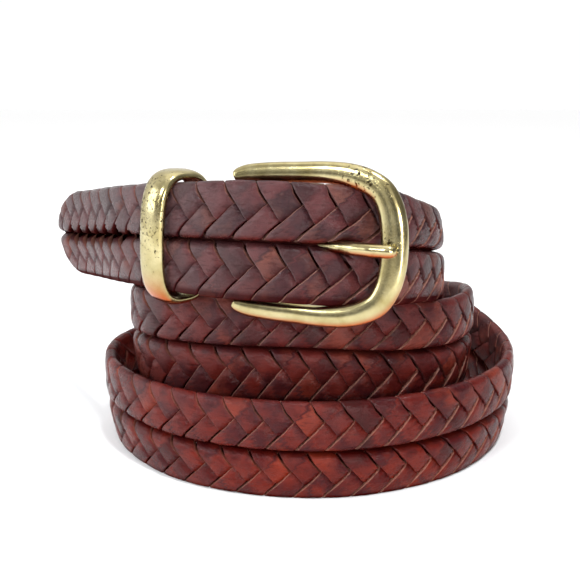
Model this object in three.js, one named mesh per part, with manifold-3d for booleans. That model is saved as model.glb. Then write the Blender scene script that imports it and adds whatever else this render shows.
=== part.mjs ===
// Braided leather belt, coiled in three turns and fastened in its own brass buckle.
// Millimetres, +Z up, the front of the coil towards -Y.
import * as THREE from 'three';
import Module from 'manifold-3d';

const wasm = await Module();
wasm.setup();

// strap
const strapWidth = 32;
const strapThick = 6.4;
const foldThick = 3.2; // where the end is skived to fold round the buckle's bar
const tipRound = 18; // length over which the free end rounds off
const sectionStep = 8; // spacing of the sections along the strap
const restFlat = 0.6; // how much of the lowest edge is pressed flat
const clearance = 0.35; // between pieces that touch
const lapGap = 0.6; // between the two layers

// coil, measured at the middle of the lowest turn's strap
const coilWidth = 146;
const coilDepth = 110;

// buckle
const barRadius = 1.9;
const frameLength = 45.1; // from the bar to the middle of the far side
const frameThick = 4.4;
const farWidth = 7.6;
const legRise = strapWidth / 2 + 3.9; // greatest height of a leg's middle
const barDrop = 1.3; // the bar sits this much lower than the first layer
const frameRoll = 2.2; // degrees that the far side is turned up
const frameLean = 4.5; // degrees that the legs' plane leans back from the bar's
const farLift = 7; // between the first layer and the frame's far side

// prong
const prongRadius = 1.95;
const prongEyeRadius = barRadius + clearance + 1.7;
const prongEyeWidth = 5;
const slotWidth = prongEyeWidth + 2 * clearance;

// keeper
const keeperBand = 9;
const keeperThick = 2.6;
const keeperRise = strapWidth / 2 + 2.2; // inner half height
const keeperDeep = strapThick + lapGap / 2 + 2.2; // inner half depth
const keeperSquare = 3.1; // 2 would make it an oval
const keeperBack = 0.7; // how far it hangs back from the middle of the layers
const keeperSlant = 8; // degrees that it has tipped along the strap

// Where things sit, as lengths of strap from the tip.
const keeperAt = 84.5;
const barAt = 110;
const farAt = barAt + 0.92 * frameLength; // where the far side crosses over the strap
const lapFrom = 73; // the two layers lie together from here to the bar
const foldBack = 18; // length of the end folded back behind

// The coil, from the tip to where the second layer slips behind the first.
// middle of the strap, x: share of half the coil's width; y: share of half its depth;
// z: share of the strap's width; lean: degrees that the upper edge leans outwards
const coil = [
  { at: 'tip', x: -1.315, y: 0.455, z: 2.125, lean: 4 },
  { at: 'tip side', x: -1.082, y: 0.055, z: 2.234, lean: 4 },
  { at: 'before the keeper', x: -0.809, y: -0.452, z: 2.4, lean: -1 },
  { at: 'keeper', x: -0.531, y: -0.827, z: 2.503, lean: -3.5 },
  { at: 'top turn, front', x: -0.135, y: -1.043, z: 2.538, lean: -3.5 },
  { at: 'top turn, buckle end', x: 0.223, y: -1.006, z: 2.475, lean: -3.6 },
  { at: 'top turn, right front', x: 0.427, y: -0.741, z: 2.37, lean: -6.5 },
  { at: 'top turn, right', x: 0.569, y: -0.388, z: 2.21, lean: -5 },
  { at: 'top turn, right back', x: 0.521, y: 0.01, z: 2.019, lean: -4 },
  { at: 'inner back, right', x: 0.352, y: 0.317, z: 1.872, lean: -2 },
  { at: 'inner back', x: 0, y: 0.491, z: 1.719, lean: 0 },
  { at: 'inner back, left', x: -0.411, y: 0.455, z: 1.5, lean: 0 },
  { at: 'middle turn, left back', x: -0.699, y: 0.182, z: 1.328, lean: 1 },
  { at: 'middle turn, left', x: -0.829, y: -0.164, z: 1.25, lean: 2 },
  { at: 'middle turn, left front', x: -0.712, y: -0.473, z: 1.312, lean: 2 },
  { at: 'middle turn, front left', x: -0.425, y: -0.655, z: 1.344, lean: 0 },
  { at: 'middle turn, front', x: 0, y: -0.718, z: 1.344, lean: 0 },
  { at: 'middle turn, front right', x: 0.356, y: -0.682, z: 1.294, lean: 0 },
  { at: 'middle turn, right front', x: 0.63, y: -0.491, z: 1.24, lean: 1 },
  { at: 'middle turn, right', x: 0.775, y: -0.164, z: 1.203, lean: 1 },
  { at: 'middle turn, right back', x: 0.74, y: 0.2, z: 1.078, lean: 0 },
  { at: 'middle back, right', x: 0.507, y: 0.527, z: 0.906, lean: 0 },
  { at: 'middle back', x: 0.082, y: 0.691, z: 0.719, lean: 0 },
  { at: 'middle back, left', x: -0.411, y: 0.655, z: 0.562, lean: 0 },
  { at: 'lower turn, left back', x: -0.795, y: 0.4, z: 0.5, lean: 1 },
  { at: 'lower turn, left', x: -0.973, y: 0, z: 0.5, lean: 4 },
  { at: 'lower turn, left front', x: -0.918, y: -0.4, z: 0.5, lean: 4 },
  { at: 'lower turn, front left', x: -0.63, y: -0.8, z: 0.5, lean: 1 },
  { at: 'lower turn, front', x: -0.219, y: -1, z: 0.5, lean: 0 },
  { at: 'lower turn, front', x: 0.219, y: -1, z: 0.5, lean: 0 },
  { at: 'lower turn, front right', x: 0.658, y: -0.764, z: 0.5, lean: 1 },
  { at: 'lower turn, right front', x: 0.932, y: -0.364, z: 0.5, lean: 4 },
  { at: 'lower turn, right', x: 1, y: 0.073, z: 0.531, lean: 6 },
  { at: 'outer back, right', x: 0.877, y: 0.509, z: 0.688, lean: 5 },
  { at: 'outer back, right', x: 0.521, y: 0.836, z: 0.969, lean: 1 },
  { at: 'outer back', x: 0.027, y: 0.964, z: 1.344, lean: 0 },
  { at: 'outer back, left', x: -0.493, y: 0.836, z: 1.75, lean: 0 },
  { at: 'second layer, left back', x: -0.795, y: 0.491, z: 2.031, lean: 0 },
  { at: 'second layer, left', x: -0.904, y: 0.073, z: 2.234, lean: 1 },
  { at: 'second layer, left front', x: -0.788, y: -0.218, z: 2.344, lean: 1 },
];

// Half of the strap's section: two padded ridges with a groove between them.
// up: share of half the width; out: share of half the thickness
const section = [
  { up: 0, out: 0.55 },
  { up: 0.25, out: 0.9 },
  { up: 0.52, out: 1 },
  { up: 0.82, out: 0.85 },
  { up: 0.96, out: 0.45 },
  { up: 1, out: 0 },
];

// Half of the frame's outline, from a leg's end to the middle of the far side.
// along: share of the length; rise: share of legRise; wide: share of farWidth
const frameRows = [
  { along: -0.066, rise: 0.945, wide: 0.33 },
  { along: -0.062, rise: 0.95, wide: 0.48 },
  { along: -0.05, rise: 0.96, wide: 0.6 },
  { along: -0.025, rise: 0.972, wide: 0.69 },
  { along: 0.01, rise: 0.982, wide: 0.74 },
  { along: 0.051, rise: 0.989, wide: 0.78 },
  { along: 0.196, rise: 1.005, wide: 0.8 },
  { along: 0.37, rise: 1.012, wide: 0.79 },
  { along: 0.543, rise: 1.015, wide: 0.8 },
  { along: 0.706, rise: 0.979, wide: 0.84 },
  { along: 0.818, rise: 0.9, wide: 0.88 },
  { along: 0.908, rise: 0.771, wide: 0.91 },
  { along: 0.9625, rise: 0.566, wide: 0.95 },
  { along: 0.991, rise: 0.31, wide: 0.99 },
  { along: 1, rise: 0, wide: 1 },
];

const vec = (x, y, z) => new THREE.Vector3(x, y, z);
const rad = THREE.MathUtils.degToRad;

// A curve through stations that also carries the lean and the thickness.
function strapCurve(stations) {
  const path = new THREE.CatmullRomCurve3(
    stations.map((s) => vec(s.x, s.y, s.z)), false, 'centripetal');
  path.arcLengthDivisions = stations.length * 40;
  const last = stations.length - 1;
  const blend = (t, key) => {
    const i = Math.min(Math.floor(t * last), last - 1);
    return THREE.MathUtils.lerp(stations[i][key], stations[i + 1][key], t * last - i);
  };
  const frameAt = (length) => {
    const t = path.getUtoTmapping(0, length);
    const along = path.getTangent(t);
    const out = vec(along.y, -along.x, 0).normalize();
    const up = out.clone().cross(along).normalize();
    const lean = rad(blend(t, 'lean'));
    return {
      length,
      centre: path.getPoint(t),
      along,
      out: out.clone().multiplyScalar(Math.cos(lean)).addScaledVector(up, -Math.sin(lean)),
      up: up.clone().multiplyScalar(Math.cos(lean)).addScaledVector(out, Math.sin(lean)),
      lean: THREE.MathUtils.radToDeg(lean),
      thick: blend(t, 'thick'),
    };
  };
  return { frameAt, total: path.getLength() };
}

const offset = (frame, out, up = 0, along = 0) => frame.centre.clone()
  .addScaledVector(frame.out, out).addScaledVector(frame.up, up).addScaledVector(frame.along, along);

// Rings of points joined into one closed body.
function skin(rings, closedPath = false) {
  const count = rings[0].length;
  const positions = rings.flat().flatMap((p) => [p.x, p.y, p.z]);
  const index = [];
  const spans = closedPath ? rings.length : rings.length - 1;
  for (let i = 0; i < spans; i++) {
    const a = i * count;
    const b = ((i + 1) % rings.length) * count;
    for (let j = 0; j < count; j++) {
      const k = (j + 1) % count;
      index.push(a + j, b + j, b + k, a + j, b + k, a + k);
    }
  }
  if (!closedPath) {
    const end = (rings.length - 1) * count;
    for (let j = 1; j < count - 1; j++) {
      index.push(0, j, j + 1);
      index.push(end, end + j + 1, end + j);
    }
  }
  let body = new wasm.Manifold(new wasm.Mesh({
    numProp: 3, vertProperties: new Float32Array(positions), triVerts: new Uint32Array(index),
  }));
  if (body.volume() < 0) {
    for (let i = 0; i < index.length; i += 3) [index[i], index[i + 1]] = [index[i + 1], index[i]];
    body = new wasm.Manifold(new wasm.Mesh({
      numProp: 3, vertProperties: new Float32Array(positions), triVerts: new Uint32Array(index),
    }));
  }
  return body;
}

// One ring of the strap's section at a frame, with its width and thickness scaled.
function strapRing(frame, widthShare, thick) {
  const half = (strapWidth / 2) * widthShare;
  const deep = thick / 2;
  const upper = section.map((row) => [row.up * half, row.out * deep]);
  const lower = section.slice(1).reverse().map((row) => [-row.up * half, row.out * deep]);
  const face = [...lower, ...upper];
  const back = face.slice(1, -1).reverse().map(([up, out]) => [up, -out]);
  return [...face, ...back].map(([up, out]) => offset(frame, out, up));
}

const evenly = (from, to, count) => Array.from({ length: count + 1 },
  (_, i) => from + ((to - from) * i) / count);

// The first layer: the strap up to where the second layer meets it.
const free = coil.map((row) => ({
  ...row,
  x: (row.x * coilWidth) / 2,
  y: (row.y * coilDepth) / 2,
  z: row.z * strapWidth,
  thick: strapThick,
}));
const first = strapCurve(free);

// The second layer lies behind the first from the keeper to the bar, skived near the bar.
const lapThick = (length) => THREE.MathUtils.clamp(
  THREE.MathUtils.mapLinear(length, keeperAt + keeperBand, barAt - 2 * foldThick, strapThick, foldThick),
  foldThick, strapThick);
const lap = evenly(lapFrom, barAt, 4).map((length) => {
  const frame = first.frameAt(length);
  const thick = lapThick(length);
  const drop = (barDrop * (length - lapFrom)) / (barAt - lapFrom);
  const centre = offset(frame, -(strapThick + thick) / 2 - lapGap, -drop);
  return { at: 'lap', x: centre.x, y: centre.y, z: centre.z, lean: frame.lean, thick };
});

// The bar and the buckle's own directions.
const atBar = first.frameAt(barAt);
const atFar = first.frameAt(farAt);
const barDepth = strapThick / 2 + lapGap + foldThick + clearance + barRadius; // behind the first layer
const barCentre = offset(atBar, -barDepth, -barDrop);
const farCentre = offset(atFar, (strapThick + frameThick) / 2 + farLift);
const level = barCentre.z;
const reach = vec(farCentre.x - barCentre.x, farCentre.y - barCentre.y, 0).normalize();
const front = vec(reach.y, -reach.x, 0);
const tilt = rad(atBar.lean); // the bar leans back as the first layer does
const roll = rad(frameRoll);
const barUp = vec(0, 0, Math.cos(tilt)).addScaledVector(front, Math.sin(tilt));
const buckle = {
  centre: barCentre,
  along: reach.clone().multiplyScalar(Math.cos(roll)).addScaledVector(barUp, Math.sin(roll)),
  up: barUp.clone().multiplyScalar(Math.cos(roll)).addScaledVector(reach, -Math.sin(roll)),
  out: front.clone().multiplyScalar(Math.cos(tilt)).add(vec(0, 0, -Math.sin(tilt))),
};

// Carries a body made about the origin (x along, z up) to the bar.
function toBuckle(body) {
  const { along, out, up, centre } = buckle;
  return body.transform([
    along.x, along.y, along.z, 0, -out.x, -out.y, -out.z, 0, up.x, up.y, up.z, 0,
    centre.x, centre.y, centre.z, 1]);
}

// The end turns round the bar and runs back behind the second layer.
const turnRadius = barRadius + clearance + foldThick / 2;
const facing = Math.atan2(atBar.out.y, atBar.out.x);
const turn = evenly(0, 180, 6).map((angle) => {
  const a = facing + rad(angle);
  return {
    at: 'fold', thick: foldThick, z: level,
    lean: atBar.lean * Math.cos(rad(angle)) - frameRoll * Math.sin(rad(angle)),
    x: barCentre.x + turnRadius * Math.cos(a), y: barCentre.y + turnRadius * Math.sin(a),
  };
});
const back = evenly(foldBack / 3, foldBack, 3).map((length) => {
  const frame = first.frameAt(barAt - length);
  const deep = strapThick / 2 + lapGap + lapThick(barAt - length) + lapGap + foldThick / 2;
  const centre = offset(frame, -Math.max(deep, barDepth + turnRadius));
  return { at: 'fold end', x: centre.x, y: centre.y, z: level, lean: -atBar.lean, thick: foldThick };
});
const whole = strapCurve([...free, ...lap.slice(0, -1), ...turn, ...back]);

function strapBody() {
  const total = whole.total;
  const lapStart = total - (barAt - lapFrom) - foldBack - 4 * turnRadius;
  const tipShares = [0.02, 0.09, 0.2, 0.37, 0.61];
  const lengths = [
    ...tipShares.map((share) => share * tipRound),
    ...evenly(tipRound, lapStart, Math.round((lapStart - tipRound) / sectionStep)),
    ...evenly(lapStart, total, Math.round((total - lapStart) / (sectionStep / 4))).slice(1),
  ];
  const rings = lengths.map((length) => {
    const frame = whole.frameAt(length);
    const into = Math.min(1, length / tipRound);
    const widthShare = Math.sqrt(1 - (1 - into) ** 2);
    return strapRing(frame, widthShare, frame.thick * (0.55 + 0.45 * widthShare));
  });
  return skin(rings);
}

// buckle frame: from one leg's end round the far side to the other
function frameBody() {
  const half = frameRows.map((row) => vec(row.along * frameLength, row.rise * legRise, row.wide * farWidth));
  const other = half.slice(0, -1).reverse().map((p) => vec(p.x, -p.y, p.z));
  const spine = new THREE.CatmullRomCurve3([...half, ...other], false, 'centripetal');
  const count = 2 * (half.length - 1) * 2;
  const leanSin = Math.sin(rad(frameLean));
  const leanCos = Math.cos(rad(frameLean));
  const rings = evenly(0, 1, count).map((t) => {
    const p = spine.getPoint(t);
    const ahead = spine.getPoint(Math.min(t + 0.001, 1));
    const behind = spine.getPoint(Math.max(t - 0.001, 0));
    const run = new THREE.Vector2(ahead.x - behind.x, ahead.y - behind.y).normalize();
    const deep = (frameThick / 2) * Math.min(1, Math.sqrt(p.z / (0.58 * farWidth)));
    return evenly(0, 330, 11).map((angle) => {
      const w = (p.z / 2) * Math.cos(rad(angle));
      const n = deep * Math.sin(rad(angle));
      const rise = p.y + w * run.x;
      return offset(buckle, n * leanCos - rise * leanSin, rise * leanCos + n * leanSin, p.x - w * run.y);
    });
  });
  return skin(rings).add(toBuckle(wasm.Manifold.cylinder(2 * legRise, barRadius, barRadius, 20, true)));
}

// A round rod through points given as along, out, up in the buckle's own directions.
function rod(points, grow) {
  const rings = points.map((p, i) => {
    const a = points[Math.max(i - 1, 0)];
    const b = points[Math.min(i + 1, points.length - 1)];
    const run = new THREE.Vector2(b.u - a.u, b.n - a.n).normalize();
    return evenly(0, 330, 11).map((angle) => {
      const side = (p.r + grow) * Math.cos(rad(angle));
      const rise = (p.r + grow) * Math.sin(rad(angle));
      return offset(buckle, p.n + side * run.x, rise, p.u - side * run.y);
    });
  });
  return skin(rings);
}

const prongSeat = frameThick / 2 + clearance + prongRadius;
const prongStart = prongEyeRadius - prongRadius * 0.8;
const prongLine = [
  { u: 0, n: prongStart, r: prongRadius * 0.72 },
  { u: frameLength * 0.2, n: prongStart + 0.3, r: prongRadius },
  { u: frameLength * 0.6, n: prongSeat - 0.5, r: prongRadius },
  { u: frameLength * 0.85, n: prongSeat - 0.1, r: prongRadius },
  { u: frameLength * 0.99, n: prongSeat, r: prongRadius },
  { u: frameLength * 1.02, n: prongSeat, r: prongRadius * 0.86 },
  { u: frameLength * 1.035, n: prongSeat, r: prongRadius * 0.5 },
];

function prongBody(grow = 0) {
  const eye = wasm.Manifold.cylinder(prongEyeWidth + 2 * grow, prongEyeRadius + grow, prongEyeRadius + grow, 24, true);
  const hole = wasm.Manifold.cylinder(strapWidth, barRadius + clearance, barRadius + clearance, 24, true);
  const body = rod(prongLine, grow).add(toBuckle(eye));
  return grow ? body : body.subtract(toBuckle(hole));
}

// keeper: a band of D section, an oval ring tipped along the strap
function keeperBody() {
  const frame = first.frameAt(keeperAt);
  const slant = rad(keeperSlant);
  const ring = {
    centre: offset(frame, -(strapThick + lapGap) / 2 - keeperBack),
    out: frame.out,
    up: frame.up.clone().multiplyScalar(Math.cos(slant)).addScaledVector(frame.along, Math.sin(slant)),
    along: frame.along.clone().multiplyScalar(Math.cos(slant)).addScaledVector(frame.up, -Math.sin(slant)),
  };
  const power = (value, share) => Math.sign(value) * Math.abs(value) ** share;
  const spine = evenly(0, 348.75, 31).map((angle) => {
    const x = power(Math.cos(rad(angle)), 2 / keeperSquare);
    const y = power(Math.sin(rad(angle)), 2 / keeperSquare);
    const normal = new THREE.Vector2(power(x, keeperSquare - 1) / keeperDeep,
      power(y, keeperSquare - 1) / keeperRise).normalize();
    return { out: keeperDeep * x, up: keeperRise * y, nx: normal.x, ny: normal.y };
  });
  const profile = [
    { side: -0.5, lift: 0.1 }, { side: -0.43, lift: 0 }, { side: 0.43, lift: 0 }, { side: 0.5, lift: 0.1 },
    { side: 0.46, lift: 0.62 }, { side: 0.25, lift: 0.93 }, { side: 0, lift: 1 },
    { side: -0.25, lift: 0.93 }, { side: -0.46, lift: 0.62 },
  ];
  const rings = spine.map((p) => profile.map((row) => offset(ring,
    p.out + p.nx * row.lift * keeperThick, p.up + p.ny * row.lift * keeperThick, row.side * keeperBand)));
  return skin(rings, true);
}

// the slot that the prong's eye turns in, through the fold and the second layer
const slotShift = foldThick; // towards the fold's far side
const slot = toBuckle(wasm.Manifold.cube(
  [2 * (prongEyeRadius + 2 * foldThick), 2 * (prongEyeRadius + clearance), slotWidth], true)
  .translate([slotShift, 0, 0]));
const floorCut = wasm.Manifold.cube([3 * coilWidth, 3 * coilDepth, strapWidth], true)
  .translate([0, 0, restFlat - strapWidth / 2]);

const leather = { colour: 0x5a2a1f, roughness: 0.55, metalness: 0 };
const brass = { colour: 0xc9b070, roughness: 0.3, metalness: 1 };
const pieces = [
  ['strap', strapBody().subtract(prongBody(clearance)).subtract(slot).subtract(floorCut), leather],
  ['buckle_frame', frameBody(), brass],
  ['prong', prongBody(), brass],
  ['keeper', keeperBody(), brass],
];

const bounds = pieces.map(([, body]) => body.boundingBox());
const low = [0, 1, 2].map((axis) => Math.min(...bounds.map((box) => box.min[axis])));
const high = [0, 1, 2].map((axis) => Math.max(...bounds.map((box) => box.max[axis])));
const shift = [-(low[0] + high[0]) / 2, -(low[1] + high[1]) / 2, -low[2]];

const group = new THREE.Group();
for (const [name, body, look] of pieces) {
  const mesh = body.translate(shift).getMesh();
  const geometry = new THREE.BufferGeometry();
  geometry.setAttribute('position', new THREE.BufferAttribute(new Float32Array(mesh.vertProperties), 3));
  geometry.setIndex(new THREE.BufferAttribute(new Uint32Array(mesh.triVerts), 1));
  const piece = new THREE.Mesh(geometry, new THREE.MeshStandardMaterial({
    color: look.colour, roughness: look.roughness, metalness: look.metalness,
  }));
  piece.name = name;
  group.add(piece);
}

export default group;
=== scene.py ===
import math

import bmesh
import bpy
import numpy as np
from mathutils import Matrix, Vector


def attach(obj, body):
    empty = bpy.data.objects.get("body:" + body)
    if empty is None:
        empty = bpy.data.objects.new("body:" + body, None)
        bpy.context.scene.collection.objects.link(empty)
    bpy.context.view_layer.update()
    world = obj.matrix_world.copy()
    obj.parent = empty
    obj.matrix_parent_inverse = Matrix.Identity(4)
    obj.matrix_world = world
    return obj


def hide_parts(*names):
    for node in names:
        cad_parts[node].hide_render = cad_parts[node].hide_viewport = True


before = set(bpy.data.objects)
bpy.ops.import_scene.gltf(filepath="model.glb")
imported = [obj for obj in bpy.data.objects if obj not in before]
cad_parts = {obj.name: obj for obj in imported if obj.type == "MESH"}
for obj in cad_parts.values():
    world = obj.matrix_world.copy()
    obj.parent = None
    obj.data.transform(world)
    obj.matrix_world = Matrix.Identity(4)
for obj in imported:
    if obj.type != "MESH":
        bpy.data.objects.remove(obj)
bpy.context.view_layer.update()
mm = 0.001

# The coil. Lengths in millimetres; rows give the middle of the strap as shares of half the
# coil's width, half its depth and the strap's width, and the lean of the upper edge in degrees.
coil = {
    "width": 146.0,
    "depth": 110.0,
    "strap": 32.0,
    "thick": 6.4,
    "foldThick": 3.2,  # where the end is skived to fold round the bar
    "clearance": 0.35,
    "lapGap": 0.6,
    "keeperAt": 84.5,  # lengths of strap from the tip
    "keeperBand": 9.0,
    "barAt": 110.0,
    "lapFrom": 73.0,
    "foldBack": 18.0,
    "samples": 120,  # between two rows
    "barRadius": 1.9,
    "barDrop": 1.3,
    "frameLength": 45.1,
    "frameThick": 4.4,
    "frameRoll": 2.2,
    "farLift": 7.0,  # how far the frame's far side stands off the strap
    "farAt": 0.92,  # share of the frame's length
    "place": (10.224, 7.058, -0.6),  # from the coil's own middle to the frame's origin
    "rows": [
        (-1.315, 0.455, 2.125, 4), (-1.082, 0.055, 2.234, 4), (-0.809, -0.452, 2.4, -1),
        (-0.531, -0.827, 2.503, -3.5), (-0.135, -1.043, 2.538, -3.5), (0.223, -1.006, 2.475, -3.6),
        (0.427, -0.741, 2.37, -6.5), (0.569, -0.388, 2.21, -5), (0.521, 0.01, 2.019, -4),
        (0.352, 0.317, 1.872, -2), (0, 0.491, 1.719, 0), (-0.411, 0.455, 1.5, 0),
        (-0.699, 0.182, 1.328, 1), (-0.829, -0.164, 1.25, 2), (-0.712, -0.473, 1.312, 2),
        (-0.425, -0.655, 1.344, 0), (0, -0.718, 1.344, 0), (0.356, -0.682, 1.294, 0),
        (0.63, -0.491, 1.24, 1), (0.775, -0.164, 1.203, 1), (0.74, 0.2, 1.078, 0),
        (0.507, 0.527, 0.906, 0), (0.082, 0.691, 0.719, 0), (-0.411, 0.655, 0.562, 0),
        (-0.795, 0.4, 0.5, 1), (-0.973, 0, 0.5, 4), (-0.918, -0.4, 0.5, 4),
        (-0.63, -0.8, 0.5, 1), (-0.219, -1, 0.5, 0), (0.219, -1, 0.5, 0),
        (0.658, -0.764, 0.5, 1), (0.932, -0.364, 0.5, 4), (1, 0.073, 0.531, 6),
        (0.877, 0.509, 0.688, 5), (0.521, 0.836, 0.969, 1), (0.027, 0.964, 1.344, 0),
        (-0.493, 0.836, 1.75, 0), (-0.795, 0.491, 2.031, 0), (-0.904, 0.073, 2.234, 1),
        (-0.788, -0.218, 2.344, 1),
    ],
}


def unit(rows):
    return rows / np.linalg.norm(rows, axis=-1, keepdims=True)


def sampleStrap(rows):
    # a centripetal curve through the rows (x, y, z, lean, thick), sampled by its length
    rows = np.array(rows, float)
    pts = rows[:, :3]
    ends = np.vstack([2 * pts[0] - pts[1], pts, 2 * pts[-1] - pts[-2]])
    steps = np.sqrt(np.linalg.norm(np.diff(ends, axis=0), axis=1))
    w = np.linspace(0, 1, coil["samples"], endpoint=False)[:, None]
    centre, along, lean, thick = [], [], [], []
    for i in range(len(pts) - 1):
        p0, p1, p2, p3 = ends[i : i + 4]
        d0, d1, d2 = steps[i : i + 3]
        m1 = ((p1 - p0) / d0 - (p2 - p0) / (d0 + d1) + (p2 - p1) / d1) * d1
        m2 = ((p2 - p1) / d1 - (p3 - p1) / (d1 + d2) + (p3 - p2) / d2) * d1
        c2 = 3 * (p2 - p1) - 2 * m1 - m2
        c3 = 2 * (p1 - p2) + m1 + m2
        centre.append(p1 + m1 * w + c2 * w**2 + c3 * w**3)
        along.append(m1 + 2 * c2 * w + 3 * c3 * w**2)
        lean.append(rows[i, 3] + (rows[i + 1, 3] - rows[i, 3]) * w[:, 0])
        thick.append(rows[i, 4] + (rows[i + 1, 4] - rows[i, 4]) * w[:, 0])
    centre = np.vstack(centre + [pts[-1:]])
    along = unit(np.vstack(along + [along[-1][-1:]]))
    lean = np.radians(np.concatenate(lean + [rows[-1:, 3]]))[:, None]
    thick = np.concatenate(thick + [rows[-1:, 4]])
    side = unit(np.stack([along[:, 1], -along[:, 0], 0 * along[:, 0]], 1))
    rise = unit(np.cross(side, along))
    length = np.concatenate([[0], np.cumsum(np.linalg.norm(np.diff(centre, axis=0), axis=1))])
    return {
        "length": length,
        "centre": centre,
        "along": along,
        "lean": np.degrees(lean[:, 0]),
        "out": side * np.cos(lean) - rise * np.sin(lean),
        "up": rise * np.cos(lean) + side * np.sin(lean),
        "thick": thick,
    }


def frameAt(curve, s):
    s = np.asarray(s, float)
    one = lambda row: np.interp(s, curve["length"], row)
    pick = lambda key: np.stack([one(curve[key][:, k]) for k in range(3)], -1)
    return {
        "centre": pick("centre"), "along": unit(pick("along")), "out": unit(pick("out")),
        "up": unit(pick("up")), "thick": one(curve["thick"]), "lean": one(curve["lean"]),
    }


def wholeStrap():
    # the free strap, then the lap behind it, the turn round the bar and the end folded back
    half = np.array([coil["width"] / 2, coil["depth"] / 2, coil["strap"]])
    free = [tuple(np.array(row[:3]) * half) + (row[3], coil["thick"]) for row in coil["rows"]]
    first = sampleStrap(free)
    thick, fold, gap = coil["thick"], coil["foldThick"], coil["lapGap"]

    def lapThick(s):
        start = coil["keeperAt"] + coil["keeperBand"]
        share = (s - start) / (coil["barAt"] - 2 * fold - start)
        return thick + (fold - thick) * min(max(share, 0), 1)

    rows = list(free)
    for s in np.linspace(coil["lapFrom"], coil["barAt"], 5)[:-1]:
        at, t = frameAt(first, s), lapThick(s)
        drop = coil["barDrop"] * (s - coil["lapFrom"]) / (coil["barAt"] - coil["lapFrom"])
        spot = at["centre"] - at["out"] * ((thick + t) / 2 + gap) - at["up"] * drop
        rows.append(tuple(spot) + (at["lean"], t))
    atBar = frameAt(first, coil["barAt"])
    atFar = frameAt(first, coil["barAt"] + coil["farAt"] * coil["frameLength"])
    depth = thick / 2 + gap + fold + coil["clearance"] + coil["barRadius"]
    bar = atBar["centre"] - atBar["out"] * depth - atBar["up"] * coil["barDrop"]
    far = atFar["centre"] + atFar["out"] * ((thick + coil["frameThick"]) / 2 + coil["farLift"])
    reach = unit(np.array([far[0] - bar[0], far[1] - bar[1], 0]))
    radius = coil["barRadius"] + coil["clearance"] + fold / 2
    facing = math.atan2(atBar["out"][1], atBar["out"][0])
    for angle in np.radians(np.linspace(0, 180, 7)):
        lean = atBar["lean"] * math.cos(angle) - coil["frameRoll"] * math.sin(angle)
        rows.append((bar[0] + radius * math.cos(facing + angle), bar[1] + radius * math.sin(facing + angle),
                     bar[2], lean, fold))
    for back in np.linspace(coil["foldBack"] / 3, coil["foldBack"], 4):
        at = frameAt(first, coil["barAt"] - back)
        deep = thick / 2 + gap + lapThick(coil["barAt"] - back) + gap + fold / 2
        spot = at["centre"] - at["out"] * max(deep, depth + radius)
        rows.append((spot[0], spot[1], bar[2], -atBar["lean"], fold))
    tilt, roll = math.radians(atBar["lean"]), math.radians(coil["frameRoll"])
    front, upright = np.array([reach[1], -reach[0], 0]), np.array([0, 0, 1.0])
    barUp = upright * math.cos(tilt) + front * math.sin(tilt)
    buckle = {
        "centre": bar,
        "along": reach * math.cos(roll) + barUp * math.sin(roll),
        "up": barUp * math.cos(roll) - reach * math.sin(roll),
        "out": front * math.cos(tilt) - upright * math.sin(tilt),
    }
    return first, sampleStrap(rows), buckle


first, whole, buckle = wholeStrap()
place = np.array(coil["place"])
strapLength = whole["length"][-1]
print("strap", round(strapLength), "mm long")


def beltPoint(s, w, o):
    # metres in the frame, from the length along the strap, the height in its width and the depth
    at = frameAt(whole, s)
    point = at["centre"] + at["up"] * w[..., None] + at["out"] * o[..., None]
    point = point + at["along"] * np.minimum(s, 0)[..., None]
    return (point + place) * mm


def bucklePoint(u, v, n):
    u, v, n = np.broadcast_arrays(u, v, n)
    across = v[..., None] * buckle["up"] + n[..., None] * buckle["out"]
    return (buckle["centre"] + u[..., None] * buckle["along"] + across + place) * mm


def wrapGrid(bm, lengthways, around, shape, layers=()):
    # a grid whose rows run round a tube: shape takes arrays of the two shares and gives the
    # points and a value for each extra layer
    floats = bm.verts.layers.float
    for name in layers:
        floats.get(name) or floats.new(name)
    before = set(bm.verts)
    bmesh.ops.create_grid(bm, x_segments=lengthways, y_segments=around, size=0.5, calc_uvs=False)
    verts = [v for v in bm.verts if v not in before]
    grid = np.array([v.co[:2] for v in verts])
    points, extra = shape(grid[:, 0] + 0.5, grid[:, 1] + 0.5)
    for v, p in zip(verts, points):
        v.co = p
    for name, values in zip(layers, extra):
        layer = floats[name]
        for v, value in zip(verts, values):
            v[layer] = value
    seam = [v for v, g in zip(verts, grid) if abs(g[1]) > 0.4999]
    bmesh.ops.remove_doubles(bm, verts=seam, dist=1e-7)
    rims = [e for e in bm.edges if e.is_boundary and e.verts[0] not in before]
    bmesh.ops.holes_fill(bm, edges=rims, sides=0)


def superCircle(angle, power):
    a = np.sign(np.cos(angle)) * np.abs(np.cos(angle)) ** (2 / power)
    b = np.sign(np.sin(angle)) * np.abs(np.sin(angle)) ** (2 / power)
    return a, b


def finishPiece(name, bm, material, node):
    bmesh.ops.recalc_face_normals(bm, faces=bm.faces)
    mesh = bpy.data.meshes.new(name)
    bm.to_mesh(mesh)
    bm.free()
    mesh.shade_smooth()
    piece = bpy.data.objects.new(name, mesh)
    bpy.context.scene.collection.objects.link(piece)
    mesh.materials.append(material)
    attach(piece, "root")
    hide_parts(node)


def linear(code):
    parts = [int(code[i : i + 2], 16) / 255 for i in (1, 3, 5)]
    return tuple(c / 12.92 if c <= 0.04045 else ((c + 0.055) / 1.055) ** 2.4 for c in parts) + (1.0,)


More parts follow.
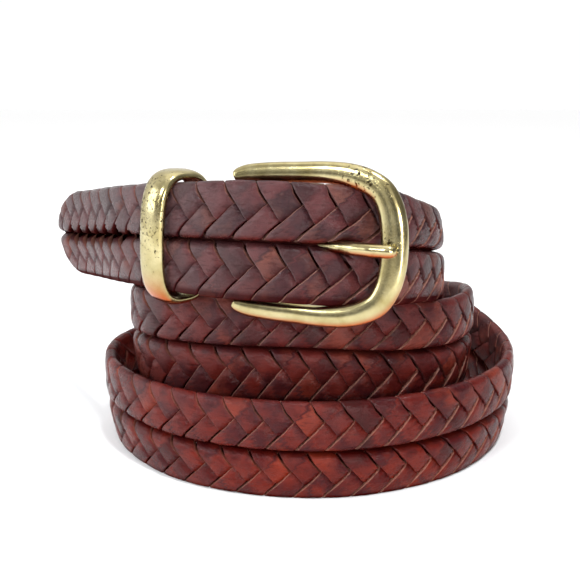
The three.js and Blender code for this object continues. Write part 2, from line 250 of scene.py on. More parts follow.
def addNode(tree, kind, settings=None, links=None, feeds=None):
    # settings: attributes or input values; links: an input to an output socket; feeds: one of
    # the node's outputs to an input elsewhere
    node = tree.nodes.new(kind)
    for key, value in (settings or {}).items():
        if isinstance(key, str) and key not in node.inputs:
            setattr(node, key, value)
        else:
            node.inputs[key].default_value = value
    for key, socket in (links or {}).items():
        tree.links.new(socket, node.inputs[key])
    for key, socket in (feeds or {}).items():
        tree.links.new(node.outputs[key], socket)
    return node


def newMaterial(name):
    material = bpy.data.materials.new(name)
    material.use_nodes = True
    tree = material.node_tree
    tree.nodes.clear()
    output = tree.nodes.new("ShaderNodeOutputMaterial")
    surface = tree.nodes.new("ShaderNodeBsdfPrincipled")
    tree.links.new(surface.outputs["BSDF"], output.inputs["Surface"])
    return material, tree, surface


def colourRamp(tree, fac, stops):
    ramp = addNode(tree, "ShaderNodeValToRGB", links={"Fac": fac})
    elements = ramp.color_ramp.elements
    while len(elements) < len(stops):
        elements.new(0.5)
    for element, (position, code) in zip(elements, stops):
        element.position = position
        element.color = linear(code)
    return ramp.outputs["Color"]


def noise(tree, place, scale, detail, rough, distortion=0.0):
    return addNode(tree, "ShaderNodeTexNoise", {
        "Scale": scale, "Detail": detail, "Roughness": rough, "Distortion": distortion}, {
        "Vector": place}).outputs["Fac"]


def mapRange(tree, value, start, end, low=0.0, high=1.0, feeds=None):
    # from start to end the value becomes low to high, and it is held at both
    return addNode(tree, "ShaderNodeMapRange", {
        "From Min": start, "From Max": end, "To Min": low, "To Max": high}, {
        "Value": value}, feeds).outputs[0]


def calculate(tree, operation, *values, feeds=None):
    # each value is an output socket or a float
    numbers = {k: value for k, value in enumerate(values) if isinstance(value, float)}
    sockets = {k: value for k, value in enumerate(values) if not isinstance(value, float)}
    return addNode(tree, "ShaderNodeMath", {"operation": operation, **numbers}, sockets, feeds).outputs[0]


def mixColours(tree, share, under, over, feeds=None):
    # under is an output socket, over another or a colour code
    settings, links = {"data_type": "RGBA"}, {"Factor": share, 6: under}
    if isinstance(over, str):
        settings[7] = linear(over)
    else:
        links[7] = over
    return addNode(tree, "ShaderNodeMix", settings, links, feeds).outputs[2]


leatherLook = {
    # the strands' own brown, from strand to strand
    "brown": [(0.0, "#1c0f10"), (0.3, "#3c2022"), (0.55, "#552c2d"), (0.75, "#321b1f"), (1.0, "#653b33")],
    # red of the lower turns and the undersides: painted warm light thrown up from below
    "red": [(0.0, "#2c0402"), (0.3, "#520904"), (0.5, "#6e1906"), (0.7, "#40070b"), (1.0, "#7e2109")],
    "toneShare": 0.55,  # how far a strand's own tone moves its colour, beside the clouds
    "warmBounceUpTo": 85.0,  # millimetres above the floor, where the red has faded out
    "warmBounceUnder": 0.6,  # how red the undersides are, higher up too
    "sheen": "#6c5b5b",  # painted grey sheen on the left-hand faces: light from the left, reflected
    "sheenMost": 0.4,
    "sheenFrom": 20.0,  # millimetres above the floor, where it starts to grow, and where it is full
    "sheenFull": 60.0,
    "paintedShade": "#260504",  # painted shade in the hollows, in the creases and along the lower edge
    "rawEdgeAndHighlight": "#c08a76",  # cut edges, where no finish has soaked in; stronger on edges that face the light, which is painted highlight
    "rawMost": 0.8,
    "clouds": 60.0,  # patches of colour to a metre
    "grain": 0.7,  # millimetres across one pebble of the grain
    "crease": 1.1,  # millimetres between the fine cross creases
    "relief": 0.3,
    "roughness": 0.28,
    "wear": 0.12,  # how much smoother or rougher it is in patches
    "gloss": 0.16,
}


def latigoLeather():
    # waxed latigo leather, cut in strands and braided: soft broad highlights, fine grain and
    # creases, hollows and creases dark with painted shade, pale cut edges, a painted grey sheen on the left
    # and painted warm light from below
    look = leatherLook
    material, tree, surface = newMaterial("latigo_leather_waxed")
    position = addNode(tree, "ShaderNodeTexCoord").outputs["Object"]
    normal = addNode(tree, "ShaderNodeNewGeometry").outputs["Normal"]
    facing = addNode(tree, "ShaderNodeSeparateXYZ", links={"Vector": normal})
    height = addNode(tree, "ShaderNodeSeparateXYZ", links={"Vector": position}).outputs["Z"]
    tone, edge, run, cross, hollowShade = (
        addNode(tree, "ShaderNodeAttribute", {"attribute_name": name}).outputs["Fac"]
        for name in ("tone", "edge", "run", "across", "hollowShade")
    )
    cloudy = noise(tree, position, look["clouds"], 4, 0.6)
    grain = noise(tree, position, 1 / (look["grain"] * mm), 3, 0.65)
    # creases run across each strand, so they are drawn out in its own lengths
    strandPlace = addNode(tree, "ShaderNodeCombineXYZ", links={"X": run, "Y": cross, "Z": tone})
    creaseMap = addNode(tree, "ShaderNodeMapping", {"Scale": (1 / look["crease"], 0.25, 40)}, {
        "Vector": strandPlace.outputs[0]})
    crease = noise(tree, creaseMap.outputs[0], 1.0, 3, 0.7, 0.6)

    # each strand's tone, clouded, in brown above, and in red below and underneath: the red is painted warm
    # light thrown up from below
    spread = mapRange(tree, calculate(tree, "MULTIPLY_ADD", tone, look["toneShare"], cloudy), 0.35, 1.1)
    brown = colourRamp(tree, spread, look["brown"])
    red = colourRamp(tree, spread, look["red"])
    warmBounceLow = mapRange(tree, height, 0.0, look["warmBounceUpTo"] * mm, 1.0, 0.0)
    under = mapRange(tree, facing.outputs["Z"], -0.25, -0.75, 0.0, look["warmBounceUnder"])
    body = mixColours(tree, calculate(tree, "MAXIMUM", warmBounceLow, under), brown, red)
    # painted grey sheen on the faces turned to the left, stronger higher up
    sheenSide = mapRange(tree, facing.outputs["X"], -0.05, -0.7, 0.0, look["sheenMost"])
    sheenHigh = mapRange(tree, height, look["sheenFrom"] * mm, look["sheenFull"] * mm, 0.25, 1.0)
    sheened = mixColours(tree, calculate(tree, "MULTIPLY", sheenSide, sheenHigh), body, look["sheen"])

    # painted shade in the hollows, in the creases and along the lower edge, and raw leather along the cut
    # edges, stronger where they face the light
    creaseShade = mapRange(tree, crease, 0.47, 0.36, 0.0, 0.45)
    shadeDarkened = mixColours(tree, calculate(tree, "MAXIMUM", hollowShade, creaseShade), sheened, look["paintedShade"])
    rawAndHighlightLine = mapRange(tree, edge, 0.3, 1.0, 0.0, look["rawMost"])
    mixColours(tree, calculate(tree, "MULTIPLY", rawAndHighlightLine, crease), shadeDarkened, look["rawEdgeAndHighlight"], {
        2: surface.inputs["Base Color"]})

    # wear has polished it in patches, the hollows are dull, and creases and grain stand up
    mapRange(tree, cloudy, 0.38, 0.62, look["roughness"] - look["wear"], look["roughness"] + look["wear"], {
        0: surface.inputs["Roughness"]})
    mapRange(tree, hollowShade, 0.2, 0.55, look["gloss"], 0.0, {0: surface.inputs["Specular IOR Level"]})
    addNode(tree, "ShaderNodeBump", {"Strength": 0.7, "Distance": look["relief"] * mm}, {
        "Height": calculate(tree, "MULTIPLY_ADD", crease, 0.9, grain)}, {0: surface.inputs["Normal"]})
    surface.inputs["IOR"].default_value = 1.5
    return material


brassLook = {
    "metal": "#c2b68a",
    "warm": "#a29362",
    "pit": "#2a2010",
    "reflectedLeather": "#c04e14",  # undersides, which mirror the leather below
    "reflectedLeatherMost": 0.9,
    "clouds": 140.0,  # patches of tarnish to a metre
    "scuffs": 900.0,
    "pitSize": 1.1,  # millimetres
    "buckleSound": 0.69,  # share of the noise that leaves the metal sound, and so without pits
    "keeperSound": 0.7,
    # middles of the spots where pits lie closest and their radii, in millimetres: on the buckle
    # along it, up and out, and on the keeper up and out
    "buckleSpots": [(37.0, 19.5, 1.5, 16), (44.0, 2.0, 2.0, 8)],
    "keeperSpot": (8, 5, 26),
    "relief": 0.15,
    "roughness": 0.17,
}


def castBrass(name, sound, spots):
    # solid brass, cast and polished, then worn: pale gold with soft reflections and dark pits,
    # which lie closer together near the spots, and a painted reflection of the red leather on the
    # undersides
    look = brassLook
    material, tree, surface = newMaterial(name)
    position = addNode(tree, "ShaderNodeTexCoord").outputs["Object"]
    normal = addNode(tree, "ShaderNodeNewGeometry").outputs["Normal"]
    facing = addNode(tree, "ShaderNodeSeparateXYZ", links={"Vector": normal})
    cloudy = noise(tree, position, look["clouds"], 4, 0.6)
    fine = noise(tree, position, look["scuffs"], 4, 0.7)
    pits = noise(tree, position, 1 / (look["pitSize"] * mm), 5, 0.75)
    base = colourRamp(tree, cloudy, [(0.3, look["warm"]), (0.65, look["metal"])])
    zone = None
    for spot, radius in spots:
        away = addNode(tree, "ShaderNodeVectorMath", {"operation": "DISTANCE", 1: spot}, {0: position})
        near = mapRange(tree, away.outputs["Value"], 0.0, radius, 1.0, 0.0)
        zone = near if zone is None else calculate(tree, "MAXIMUM", zone, near)
    pitMask = mapRange(tree, calculate(tree, "MULTIPLY_ADD", zone, 0.2, pits), sound, sound + 0.05)
    # painted reflection: the undersides take the red of the leather below
    under = mapRange(tree, facing.outputs["Z"], -0.05, -0.6, 0.0, look["reflectedLeatherMost"])
    mixColours(tree, under, mixColours(tree, pitMask, base, look["pit"]), look["reflectedLeather"], {
        2: surface.inputs["Base Color"]})
    surface.inputs["Metallic"].default_value = 1.0
    polish = mapRange(tree, fine, 0.0, 1.0, look["roughness"] - 0.06, look["roughness"] + 0.12)
    calculate(tree, "MULTIPLY_ADD", pitMask, 0.4, polish, feeds={0: surface.inputs["Roughness"]})
    addNode(tree, "ShaderNodeBump", {"Strength": 0.12, "Distance": look["relief"] * mm}, {
        "Height": calculate(tree, "MULTIPLY_ADD", pitMask, -3.0, fine)}, {0: surface.inputs["Normal"]})
    return material


braid = {
    "strands": 7,
    "pitch": 9.0,  # along the strap, from one strand to the next
    # each of the next five gives lengths along the strap, and at these:
    "slip": ((0, 120, 470, 800, 1168), (1.4, 1.4, -2.0, -3.9, -3.9)),  # how far the weave has slid
    "widen": ((0, 85, 108, 148, 170), (0.975, 0.975, 1.03, 1.03, 1.0)),  # share of the width filled
    "sag": ((300, 350, 560, 610), (0, 2.4, 2.4, 0)),  # how far the lower edge hangs
    "dip": ((152, 168, 190, 215, 260), (0, 1.6, 3.0, 3.0, 0)),  # how far the upper edge sinks
    "loose": ((1.0, 5.0, 9.0, 58.0, 76.0), (-0.85, 0, 1, 1, 0)),  # how loose the tip's weave is
    "edgeBand": 14.0,  # height from the middle at which sag and dip are full
    "fill": 0.925,  # share of the pitch that a strand covers on the outside
    "fillBack": 0.995,  # and inside, so that no light comes through
    "dive": 0.34,  # share of a crossing in which a strand goes under
    "crown": 0.13,  # how far a float's two ends lie lower than its middle, as a share
    "edgeRound": 2.5,  # how far an edge's fold reaches in from the strap's edge
    "foldSpan": 0.42,  # share of a crossing that the fold takes
    "grooveSlope": 1.5,  # height per crossing inside the middle groove
    "grooveSpan": 0.45,
    "grooveDepth": 0.8,  # share of half the thickness
    "thinAt": 14.6,  # height beyond which the strands get no thinner
    "strandThick": 0.47,  # half of a strand's own thickness, as a share
    "grooveWidth": 1.5,
    "grooveSink": 0.45,  # how far the middle crossings sink towards the back, as a share
    "shoulder": 2.8,  # how square the upper edge is, and the lower one
    "lowShoulder": 2.6,
    "bendOpen": 2.2,  # how much a sharp bend opens the strands, for each 1/mm of curvature
    "bendFrom": 0.018,  # curvature at which that starts, and how far it goes on
    "bendMost": 0.04,
    "crossingLength": 7.0,  # along a strand
    "steps": 8,  # faces for each crossing
    # a quarter of a strand's section from its cut edge to its middle: shares of half its width
    # and half its thickness, and how much of the raw edge shows there; then the same where
    # the edge lies open to the light
    "section": [
        (1, 0, 1), (1, 0.66, 1), (0.985, 0.84, 0.7), (0.945, 0.95, 0.1), (0.84, 1.0, 0), (0.4, 1.05, 0),
    ],
    "openSection": [
        (1, 0, 1), (1, 0.3, 1), (0.975, 0.62, 1), (0.94, 0.9, 0.9), (0.91, 0.98, 0), (0.4, 1.05, 0),
    ],
    "shear": (0.2, 150.0, 0.05, 320.0),  # lean of the weave at the tip's end, up to a length, and later
    "partAt": 141.5,  # where the prong parts the strands, and how far
    "partReach": 5.0,
    "partRise": 4.0,
    "part": 1.5,
    "tipRound": 18.0,
    "tipRoundAbove": 25.0,
    "tipLonger": 3.4,
    "tipSkew": 0.16,
    "tipEdge": 3.0,  # over which the tip's rim rounds off
    "lowEdgeShadeFrom": 13.4,  # height below the middle from which the lower edge is darkened with painted shade
}


def halfDepth(w, loose):
    # half of the strap's thickness at a height in its width, as a share
    depth, width = braid["grooveDepth"] + 0.1 * loose, braid["grooveWidth"] - 0.2 * loose
    groove = 1 - depth * np.exp(-((w / width) ** 2))
    power = np.where(w > 0, braid["shoulder"], braid["lowShoulder"])
    square = np.clip(1 - np.abs(w / (coil["strap"] / 2)) ** power, 0, 1) ** (1 / power)
    return groove * square


def rowHeight(y, loose):
    # height in the strap's width for a place between two turns of the edge, in crossings
    slope0, span = braid["grooveSlope"] + 2.2 * loose, braid["grooveSpan"]
    top = braid["strands"] / 2 - braid["foldSpan"]
    reach = coil["strap"] / 2 - braid["edgeRound"]
    slope = (reach - slope0 * span) / (top - span)
    return slope * y - (slope - slope0) * span * np.tanh(y / span)


def strandLift(x, loose):
    # two crossings over and two under: 1 on the outside, -1 inside; x counts from the last turn
    lift = np.ones_like(x)
    for turn, side in ((1.5, -2), (3.5 + 0.4 * np.maximum(loose, 0), 2), (5.5, -2)):
        t = np.clip((x - turn) / braid["dive"] + 0.5, 0, 1)
        lift = lift + side * t * t * (3 - 2 * t)
    middle = np.abs(np.mod(x + 1.5, 4) - 2)  # crossings from the middle of the nearest float
    return lift * (1 - braid["crown"] * np.minimum(middle, 1) ** 2)


def sinceTurn(phase):
    # the crossings since the strand's last turn at an edge, and whether it is on its way up
    leg = np.floor(phase / braid["strands"])
    return phase - braid["strands"] * leg, np.mod(leg, 2) > 0.5


def strandMiddle(phase, c, j):
    # the middle surface of a strand; phase counts crossings along it, c runs across it
    v, rising = sinceTurn(phase)
    count, span = braid["strands"], braid["foldSpan"]
    s = braid["pitch"] * (j + c + phase / 2)
    s = s + np.interp(s, *braid["slip"])
    loose = np.interp(s, *braid["loose"])
    opened = np.maximum(loose, 0)
    w = rowHeight(np.clip(count / 2 - v, span - count / 2, count / 2 - span), loose)
    tall = halfDepth(np.clip(w, -braid["thinAt"], braid["thinAt"]), loose) * braid["strandThick"]
    lift = strandLift(v + c, loose)
    sink = np.exp(-((w / (braid["grooveWidth"] + 1.6 * opened)) ** 2))
    sink = sink * (1 - opened * np.clip(lift / 1.6 + 0.5, 0, 1))
    o = halfDepth(w, loose) * 0.5 * lift - (braid["grooveSink"] + 0.2 * loose) * sink
    # the folds at the two edges
    near = np.minimum(v, count - v)
    turn = np.clip(near / span, 0, 1) * math.pi / 2
    edge = near < span
    w = np.where(edge, w + np.sign(w) * (braid["edgeRound"] - 0.5) * np.cos(turn), w)
    o = np.where(edge, o * np.sin(turn), o)
    return s, np.where(rising, -w, w), o, tall


def onStrap(s, w, o):
    # a place on the strap with its rounded tip; o is a share of half the thickness
    lean, until, later, onwards = braid["shear"]
    widen, band = np.interp(s, *braid["widen"]), braid["edgeBand"]
    w = w * widen - np.interp(s, *braid["sag"]) * np.clip(-w / band, 0, 1) ** 2
    w = w - np.interp(s, *braid["dip"]) * np.clip(w / band, 0, 1) ** 2
    s = s + np.interp(s, (until, onwards), (lean, later)) * w
    beside = ((s - braid["partAt"]) / braid["partReach"]) ** 2 + (w / braid["partRise"]) ** 2
    w = w + braid["part"] * np.exp(-beside) * np.tanh(w / 0.6)
    rim = np.where(w > 0, braid["tipRoundAbove"], braid["tipRound"])
    rim = rim * (1 - np.sqrt(1 - np.clip(np.abs(w) / (coil["strap"] / 2 * widen), 0, 1) ** 2))
    rim = rim + braid["tipSkew"] * w
    # near the tip's rim the strands bunch up and close in
    into, edge = s - rim + braid["tipLonger"], braid["tipEdge"]
    into = np.where(into < edge, edge * np.exp(np.minimum(into / edge, 1) - 1), into)
    s = np.minimum(rim + into - braid["tipLonger"], strapLength - 0.3)
    thick = frameAt(whole, s)["thick"] / 2 * np.sqrt(1 - (1 - np.clip(into / (1.3 * edge), 0, 1)) ** 2)
    return beltPoint(s, w, o * thick), thick


def strandShape(j, phaseFrom, phaseTo):
    quarters = []
    for key in ("section", "openSection"):
        part = np.array(braid[key])
        half = np.vstack([part * (-1, 1, 1), (0, 1.07, 0), part[::-1]])
        quarters.append(np.vstack([half, half[-2::-1] * (1, -1, 1)]))
    plain, open_ = quarters
    curvature = np.linalg.norm(np.gradient(whole["along"], axis=0), axis=1) / np.gradient(whole["length"])

    def shape(share, round_):
        phase = phaseFrom + (phaseTo - phaseFrom) * share
        v, rising = sinceTurn(phase)
        at = round_ * (len(plain) - 1)
        pick = lambda ring, k: np.interp(at, range(len(ring)), ring[:, k])
        lit = rising == (pick(plain, 0) < 0)
        a, n, cut = (np.where(lit, pick(open_, k), pick(plain, k)) for k in range(3))
        bend = np.interp(braid["pitch"] * (j + phase / 2), whole["length"][::60], curvature[::60])
        fill = braid["fill"] - braid["bendOpen"] * np.clip(bend - braid["bendFrom"], 0, braid["bendMost"])
        outside = strandLift(v, 0) * 0.5 + 0.5
        outside = outside * np.clip((np.minimum(v, braid["strands"] - v) - 0.15) / 0.3, 0, 1)
        c = 0.5 * a * (braid["fillBack"] + (fill - braid["fillBack"]) * outside)
        s, w, o, tall = strandMiddle(phase, c, j)
        point, thick = onStrap(s, w, o)
        # the surface's own direction, from places a little to each side
        e = 0.02
        ahead, behind = (onStrap(*strandMiddle(phase + d, c, j)[:3])[0] for d in (e, -e))
        right, left = (onStrap(*strandMiddle(phase, c + d, j)[:3])[0] for d in (e, -e))
        normal = np.cross(right - left, ahead - behind)
        normal = normal / np.maximum(np.linalg.norm(normal, axis=-1, keepdims=True), 1e-12)
        point = point + normal * (n * tall * thick * mm)[:, None]
        point[:, 2] = np.maximum(point[:, 2], 0)
        # every float has its own tone, drawn from its place in the braid
        cell = np.floor(phase + c + 0.5)
        tone = np.mod(np.sin(cell * 12.9898 + j * 78.233) * 43758.5453, 1.0)
        # the raw cut edge, stronger where the edge faces the light: partly the leather's own pale edge,
        # partly painted highlight
        pale = cut * np.where(lit, np.where(rising, 1.0, 0.6), 0.25)
        # painted shade where a strand dives under the others, in the groove and along the lower edge
        loose = np.maximum(np.interp(s, *braid["loose"]), 0)
        lift = strandLift(v + c, loose)
        hollowShade = np.clip((0.35 - lift * np.sign(n) * np.where(rising, 1, -1)) / 0.9, 0, 1)
        hollowShade = np.maximum(hollowShade, (0.8 + 0.25 * loose) * np.exp(-((w / (1.5 + 1.3 * loose)) ** 2)))
        hollowShade = np.maximum(hollowShade, 0.6 * np.clip((-w - braid["lowEdgeShadeFrom"]) / 0.6, 0, 1))
        return point, (tone, pale, phase * braid["crossingLength"], c * braid["pitch"], hollowShade)

    return shape, len(plain) - 1


def makeBraid(material):
    for j in range(braid["strands"]):
        phaseFrom = -2 * j - 1.6
        phaseTo = 2 * (strapLength / braid["pitch"] - j) - 1.2
        bm = bmesh.new()
        lengthways = int((phaseTo - phaseFrom) * braid["steps"])
        shape, around = strandShape(j, phaseFrom, phaseTo)
        wrapGrid(bm, lengthways, around, shape, ("tone", "edge", "run", "across", "hollowShade"))
        finishPiece(f"strand_{j + 1}", bm, material, "strap")


brass = {
    "farWidth": 7.6,
    # half of the frame: shares of its length, of legRise and of farWidth
    "frameRows": [
        (-0.082, 0.928, 0.36), (-0.078, 0.933, 0.5), (-0.064, 0.948, 0.62), (-0.035, 0.964, 0.7),
        (0.005, 0.98, 0.75), (0.051, 0.989, 0.78), (0.196, 1.005, 0.8), (0.37, 1.012, 0.79),
        (0.543, 1.015, 0.8), (0.706, 0.979, 0.84), (0.818, 0.9, 0.88), (0.908, 0.771, 0.91),
        (0.9625, 0.566, 0.95), (0.991, 0.31, 0.99), (1, 0, 1),
    ],
    "barEndsAt": 14.0,  # height from which the bar's ends are thinner and lean back
    "prongRadius": 1.95,
    "prongEyeWidth": 5.0,
    "frameLean": 4.5,  # degrees that the legs' plane leans back from the bar's
    "keeperThick": 2.6,
    "keeperRoom": 2.2,  # from the strap to the middle of the ring's wall
    "keeperBack": 0.7,  # how far the ring hangs back, and how far it has slid along and down
    "keeperSlid": 0.9,
    "keeperDown": 0.3,
    "keeperSquare": 3.1,  # 2 would make the ring an oval
    "keeperSlant": 8.0,  # degrees that it has tipped along the strap
}
legRise = coil["strap"] / 2 + 3.9
prongEyeRadius = coil["barRadius"] + coil["clearance"] + 1.7


def makeBuckle(material):
    rows = np.array(brass["frameRows"]) * (coil["frameLength"], legRise, brass["farWidth"])
    rows = np.vstack([rows, rows[-2::-1] * (1, -1, 1)])
    knots = np.concatenate([[0], np.cumsum(np.sqrt(np.linalg.norm(np.diff(rows[:, :2], axis=0), axis=1)))])

    def spine(share):
        # from the upper leg's end, round the far side, to the lower leg's end
        t = np.clip(share, 0, 1) * knots[-1]
        i = np.clip(np.searchsorted(knots, t, side="right") - 1, 0, len(rows) - 2)
        ends = np.vstack([2 * rows[0] - rows[1], rows, 2 * rows[-1] - rows[-2]])
        gaps = np.diff(np.concatenate([[-knots[1]], knots, [2 * knots[-1] - knots[-2]]]))
        p0, p1, p2, p3 = (ends[i + k] for k in range(4))
        d0, d1, d2 = (gaps[i + k][:, None] for k in range(3))
        m1 = ((p1 - p0) / d0 - (p2 - p0) / (d0 + d1) + (p2 - p1) / d1) * d1
        m2 = ((p2 - p1) / d1 - (p3 - p1) / (d1 + d2) + (p3 - p2) / d2) * d1
        w = ((t - knots[i]) / d1[:, 0])[:, None]
        c2, c3 = 3 * (p2 - p1) - 2 * m1 - m2, 2 * (p1 - p2) + m1 + m2
        return p1 + m1 * w + c2 * w**2 + c3 * w**3

    def shape(share, round_):
        at = spine(share)
        run = unit(spine(share + 1e-3)[:, :2] - spine(share - 1e-3)[:, :2])
        a, b = superCircle(2 * math.pi * round_, 2.4)
        half = at[:, 2] / 2
        deep = coil["frameThick"] / 2 * np.minimum(1, np.sqrt(at[:, 2] / (0.58 * brass["farWidth"])))
        lean, rise, n = math.radians(brass["frameLean"]), at[:, 1] + a * half * run[:, 0], b * deep
        return bucklePoint(at[:, 0] - a * half * run[:, 1], rise * math.cos(lean) + n * math.sin(lean),
                           n * math.cos(lean) - rise * math.sin(lean)), ()

    bm = bmesh.new()
    wrapGrid(bm, 150, 28, shape)

    def bar(share, round_):
        angle, v = 2 * math.pi * round_, (share - 0.5) * 2 * (legRise - 0.6)
        end = np.clip((np.abs(v) - brass["barEndsAt"]) / 3, 0, 1)
        r = coil["barRadius"] * (1 - 0.3 * end)
        back = end * v * math.sin(math.radians(brass["frameLean"]))
        return bucklePoint(r * np.cos(angle), v, r * np.sin(angle) - back), ()

    wrapGrid(bm, 40, 28, bar)
    finishPiece("buckle_horseshoe", bm, material, "buckle_frame")


def makeProng(material):
    seat = coil["frameThick"] / 2 + coil["clearance"] + brass["prongRadius"]
    start = prongEyeRadius - brass["prongRadius"] * 0.8
    length = coil["frameLength"]
    # share of the frame's length, height over the bar's middle and share of the prong's radius
    line = np.array([
        (0.0, start - 0.3, 0.72), (0.2, start - 0.9, 0.85), (0.42, start - 1.8, 0.85),
        (0.56, start - 2.0, 0.9), (0.66, start - 1.2, 0.95), (0.76, seat - 1.5, 1.0),
        (0.87, seat - 0.3, 1.0), (0.98, seat, 0.99), (1.01, seat, 0.9),
        (1.028, seat, 0.68), (1.036, seat, 0.4), (1.039, seat, 0.05),
    ])

    def shape(share, round_):
        t = share * (len(line) - 1)
        u, n, r = (np.interp(t, range(len(line)), line[:, k]) for k in range(3))
        angle = 2 * math.pi * round_
        r = r * brass["prongRadius"]
        return bucklePoint(u * length, r * np.cos(angle), n + r * np.sin(angle)), ()

    bm = bmesh.new()
    wrapGrid(bm, 64, 24, shape)

    def eye(share, round_):
        # a loop round the bar: across its wall and round the bar
        angle = 2 * math.pi * round_
        loop = 2 * math.pi * share
        inner, outer = coil["barRadius"] + coil["clearance"], prongEyeRadius
        a, b = superCircle(angle, 4)
        r = (inner + outer) / 2 + a * (outer - inner) / 2
        return bucklePoint(r * np.cos(loop), b * brass["prongEyeWidth"] / 2, r * np.sin(loop)), ()

    before = set(bm.verts)
    wrapGrid(bm, 40, 16, eye)
    bmesh.ops.remove_doubles(bm, verts=[v for v in bm.verts if v not in before], dist=1e-6)
    finishPiece("prong_pin", bm, material, "prong")


def makeKeeper(material):
    at = frameAt(first, coil["keeperAt"])
    middle = at["centre"] - at["out"] * ((coil["thick"] + coil["lapGap"]) / 2 + brass["keeperBack"])
    middle = middle - at["up"] * brass["keeperDown"] + at["along"] * brass["keeperSlid"]
    slant = math.radians(brass["keeperSlant"])
    up = at["up"] * math.cos(slant) + at["along"] * math.sin(slant)
    along = at["along"] * math.cos(slant) - at["up"] * math.sin(slant)
    halfDeep = coil["thick"] + coil["lapGap"] / 2 + brass["keeperRoom"]
    halfRise = coil["strap"] / 2 + brass["keeperRoom"]
    square = brass["keeperSquare"]

    def shape(share, round_):
        x, y = superCircle(2 * math.pi * share, square)
        nx = np.sign(x) * np.abs(x) ** (square - 1) / halfDeep
        ny = np.sign(y) * np.abs(y) ** (square - 1) / halfRise
        size = np.hypot(nx, ny)
        a, b = superCircle(2 * math.pi * round_, 3.6)
        lift = np.where(b > 0, b * (brass["keeperThick"] - 0.5 * np.abs(a) ** 2), b * 0.12)
        side = a * (coil["keeperBand"] / 2 + 0.6)
        point = middle + (halfDeep * x + nx / size * lift)[:, None] * at["out"]
        point = point + (halfRise * y + ny / size * lift)[:, None] * up
        return (point + side[:, None] * along + place) * mm, ()

    bm = bmesh.new()
    wrapGrid(bm, 132, 24, shape)
    # the ring's two ends meet, so their covers go
    bmesh.ops.delete(bm, geom=[f for f in bm.faces if len(f.verts) > 4], context="FACES")
    bmesh.ops.remove_doubles(bm, verts=bm.verts, dist=1e-6)
    finishPiece("keeper_ring", bm, material, "keeper")


leather = latigoLeather()
buckleSpots = [(Vector(bucklePoint(*spot)), radius * mm) for *spot, radius in brassLook["buckleSpots"]]
spotUp, spotOut, spotRadius = brassLook["keeperSpot"]
keeperAt = frameAt(first, coil["keeperAt"])
keeperSpot = Vector((keeperAt["centre"] + spotOut * keeperAt["out"] + spotUp * keeperAt["up"] + place) * mm)
buckleBrass = castBrass("cast_brass_buckle", brassLook["buckleSound"], buckleSpots)
keeperBrass = castBrass("cast_brass_keeper", brassLook["keeperSound"], [(keeperSpot, spotRadius * mm)])

makeBraid(leather)
print("braid done")
makeBuckle(buckleBrass)
makeProng(buckleBrass)
makeKeeper(keeperBrass)
print("brass done")

studio = {
    "lens": 41.77,
    "camera": (-6.67, -240.66, 120.5),  # millimetres, in the coil's own place
    "down": 0.281,  # radians
    "floor": "#f4f4f4",
    "sweep": 0.4,  # light added to the far floor
    "sweepFrom": 0.12,  # metres from the middle, where that starts and where it is full
    "sweepTo": 0.6,
    "backdrop": 1.02,
    "ceiling": 0.75,
    "room": 0.08,  # brightness of the room on the viewer's side
    "mirrored": 0.9,  # and of its pale walls and windows as they show in polished metal
    "stripes": 2.4,
    "rightSide": 0.3,  # share of the light that is left on the right
    # where each soft light stands, what it is aimed at, its side, its watts and its colour
    "lights": {
        "overhead": ((0, 0.1, 1.2), (0, 0, 0), 1.2, 3.0, (1.0, 1.0, 1.0)),
        "lamp": ((0.13, -0.21, 0.9), (0, 0, 0), 0.07, 4.5, (0.95, 0.97, 1.0)),
        "window": ((-0.55, -0.6, 0.6), (0, 0, 0.06), 0.16, 3.2, (0.88, 0.94, 1.0)),
        "front": ((0.15, -0.78, 0.3), (0, 0, 0.04), 0.12, 2.4, (1.0, 0.98, 0.95)),
        "sparkle": ((0.2, -0.78, 0.07), (0, 0, 0.04), 0.03, 0.7, (1.0, 1.0, 1.0)),
        "side": ((-0.8, -0.1, 0.3), (0, 0, 0.05), 0.35, 1.6, (0.9, 0.95, 1.0)),
    },
}


def makeFloor():
    bm = bmesh.new()
    bmesh.ops.create_grid(bm, x_segments=1, y_segments=1, size=6.0)
    mesh = bpy.data.meshes.new("floor")
    bm.to_mesh(mesh)
    bm.free()
    floor = bpy.data.objects.new("floor", mesh)
    bpy.context.scene.collection.objects.link(floor)
    # painted board, matt white: it glows a little further off, as under a studio sweep
    material, tree, surface = newMaterial("painted_board_white")
    surface.inputs["Base Color"].default_value = linear(studio["floor"])
    surface.inputs["Roughness"].default_value = 0.9
    surface.inputs["Specular IOR Level"].default_value = 0.1
    surface.inputs["Emission Color"].default_value = (1, 1, 1, 1)
    boardPlace = addNode(tree, "ShaderNodeTexCoord").outputs["Object"]
    away = addNode(tree, "ShaderNodeVectorMath", {"operation": "LENGTH"}, {0: boardPlace})
    mapRange(tree, away.outputs["Value"], studio["sweepFrom"], studio["sweepTo"], 0.0, studio["sweep"], {
        0: surface.inputs["Emission Strength"]})
    mesh.materials.append(material)


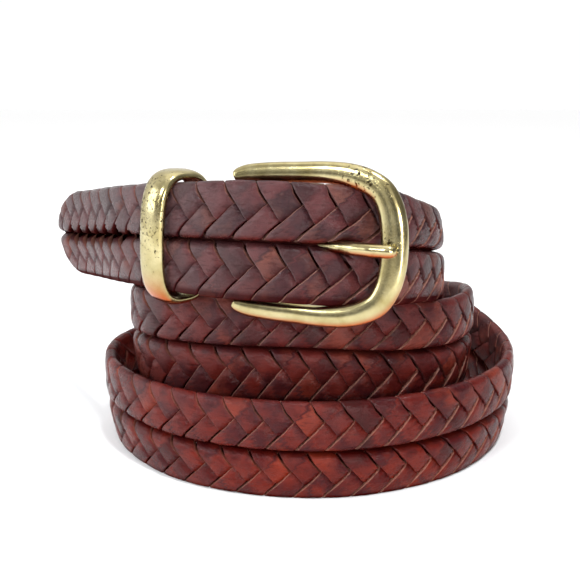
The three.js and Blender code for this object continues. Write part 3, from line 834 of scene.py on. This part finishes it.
def makeRoom():
    world = bpy.data.worlds.new("studio")
    world.use_nodes = True
    tree = world.node_tree
    toward = addNode(tree, "ShaderNodeTexCoord").outputs["Generated"]
    direction = addNode(tree, "ShaderNodeSeparateXYZ", links={"Vector": toward})
    rays = addNode(tree, "ShaderNodeLightPath")
    # white behind the belt, a darker room on the viewer's side and a pale ceiling
    behind = mapRange(tree, direction.outputs["Y"], -0.35, 0.1, studio["room"], studio["backdrop"])
    ceiling = mapRange(tree, direction.outputs["Z"], 0.35, 0.9, 0.0, studio["ceiling"])
    plainRoom = calculate(tree, "MAXIMUM", behind, ceiling)
    # what stands about in the room shows in polished metal as soft light and dark stripes
    stripes = noise(tree, toward, studio["stripes"], 2, 0.5)
    walls = mapRange(tree, stripes, 0.44, 0.56, 0.02, studio["mirrored"])
    mirrored = calculate(tree, "MULTIPLY", walls, rays.outputs["Is Glossy Ray"])
    # the right-hand side is darker, and the backdrop itself is white all round
    shade = mapRange(tree, direction.outputs["X"], 0.1, 0.8, 1.0, studio["rightSide"])
    shaded = calculate(tree, "MULTIPLY", calculate(tree, "MAXIMUM", plainRoom, mirrored), shade)
    backdrop = calculate(tree, "MULTIPLY", rays.outputs["Is Camera Ray"], studio["backdrop"])
    background = tree.nodes["Background"]
    background.inputs["Color"].default_value = (1, 1, 1, 1)
    calculate(tree, "MAXIMUM", shaded, backdrop, feeds={0: background.inputs["Strength"]})
    bpy.context.scene.world = world


def makeLights():
    for name, (spot, target, side, watts, colour) in studio["lights"].items():
        data = bpy.data.lights.new(name, "AREA")
        data.shape = "RECTANGLE"
        data.size = data.size_y = side
        data.energy = watts
        data.color = colour
        light = bpy.data.objects.new(name, data)
        light.location = spot
        light.rotation_euler = (Vector(target) - Vector(spot)).to_track_quat("-Z", "Y").to_euler()
        bpy.context.scene.collection.objects.link(light)


def makeCamera():
    camera = bpy.data.objects.new("camera", bpy.data.cameras.new("camera"))
    camera.data.lens = studio["lens"]
    camera.data.sensor_width = 36
    camera.data.clip_start = 0.01
    camera.location = (np.array(studio["camera"]) + place) * mm
    camera.rotation_euler = (math.pi / 2 - studio["down"], 0, 0)
    bpy.context.scene.collection.objects.link(camera)
    bpy.context.scene.camera = camera
    bpy.context.scene.view_settings.view_transform = "Standard"


makeFloor()
makeRoom()
makeLights()
makeCamera()
print("studio done")
